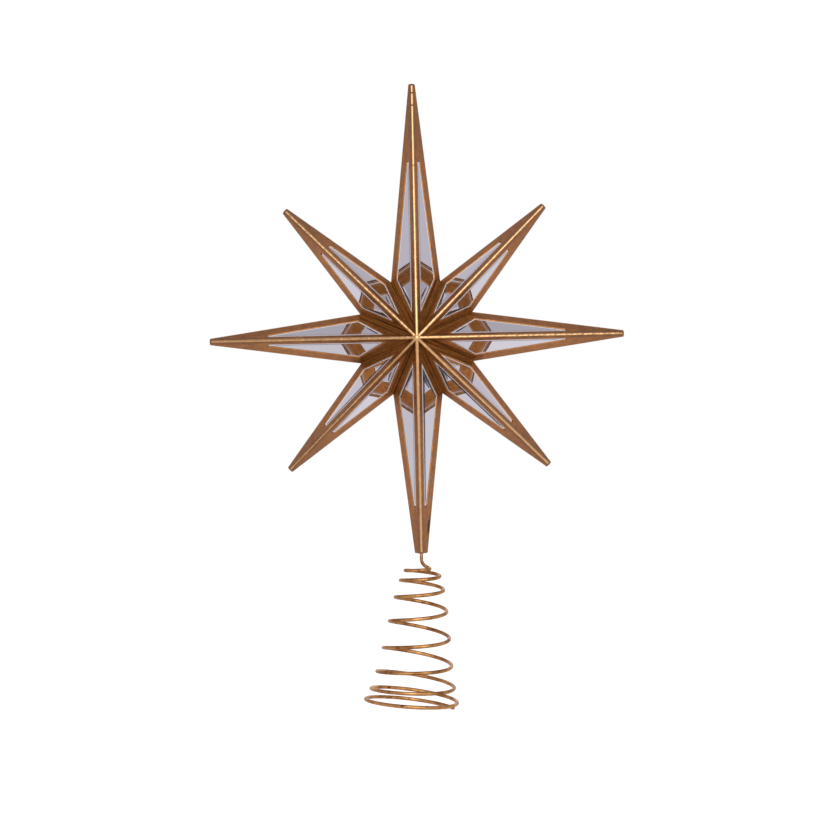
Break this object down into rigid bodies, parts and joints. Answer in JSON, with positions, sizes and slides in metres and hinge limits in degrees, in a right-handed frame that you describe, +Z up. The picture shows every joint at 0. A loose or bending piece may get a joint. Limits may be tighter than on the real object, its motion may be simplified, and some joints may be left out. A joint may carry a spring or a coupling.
{
  "type": "christmas tree topper star",
  "caption": "Faceted long-rayed star for the top of a Christmas tree, with mirror tiles in an antique gold frame on a conical wire spring that slips over the leader.",
  "frame": {"origin": "the place on the star's upright axis, inside the top turn of the spring, where the tip of the tree's leader comes to rest", "axes": "+Z up along the star's top ray, +X to the right as seen from the front, -Y out of the front of the star"},
  "size_m": [0.218, 0.07, 0.3318],
  "materials": {
    "antique_gold": "moulded plastic in antique gold paint, brushed and rubbed on the ridges",
    "mirror_glass": "silvered flat glass with a seamed edge",
    "clear_resin": "hardened potting glue",
    "gilded_wire": "spring steel wire in antique gold paint"
  },
  "bodies": {
    "spring": {"coil_spring": "gilded_wire"},
    "star": {"back_frame": "antique_gold", "back_mirror_bottom_anticlockwise": "mirror_glass", "back_mirror_bottom_clockwise": "mirror_glass", "back_mirror_left_anticlockwise": "mirror_glass", "back_mirror_left_clockwise": "mirror_glass", "back_mirror_lower_left_anticlockwise": "mirror_glass", "back_mirror_lower_left_clockwise": "mirror_glass", "back_mirror_lower_right_anticlockwise": "mirror_glass", "back_mirror_lower_right_clockwise": "mirror_glass", "back_mirror_right_anticlockwise": "mirror_glass", "back_mirror_right_clockwise": "mirror_glass", "back_mirror_top_anticlockwise": "mirror_glass", "back_mirror_top_clockwise": "mirror_glass", "back_mirror_upper_left_anticlockwise": "mirror_glass", "back_mirror_upper_left_clockwise": "mirror_glass", "back_mirror_upper_right_anticlockwise": "mirror_glass", "back_mirror_upper_right_clockwise": "mirror_glass", "front_frame": "antique_gold", "front_mirror_bottom_anticlockwise": "mirror_glass", "front_mirror_bottom_clockwise": "mirror_glass", "front_mirror_left_anticlockwise": "mirror_glass", "front_mirror_left_clockwise": "mirror_glass", "front_mirror_lower_left_anticlockwise": "mirror_glass", "front_mirror_lower_left_clockwise": "mirror_glass", "front_mirror_lower_right_anticlockwise": "mirror_glass", "front_mirror_lower_right_clockwise": "mirror_glass", "front_mirror_right_anticlockwise": "mirror_glass", "front_mirror_right_clockwise": "mirror_glass", "front_mirror_top_anticlockwise": "mirror_glass", "front_mirror_top_clockwise": "mirror_glass", "front_mirror_upper_left_anticlockwise": "mirror_glass", "front_mirror_upper_left_clockwise": "mirror_glass", "front_mirror_upper_right_anticlockwise": "mirror_glass", "front_mirror_upper_right_clockwise": "mirror_glass", "wire_potting": "clear_resin"}
  },
  "joints": [
    {"name": "spring_compress", "type": "slide", "parent": "spring", "child": "star", "axis": [0, 0, 1], "range_m": [-0.03, 0], "stiffness_N_per_m": 300, "springref_m": 0.00786, "deforming": ["coil_spring"]}
  ]
}
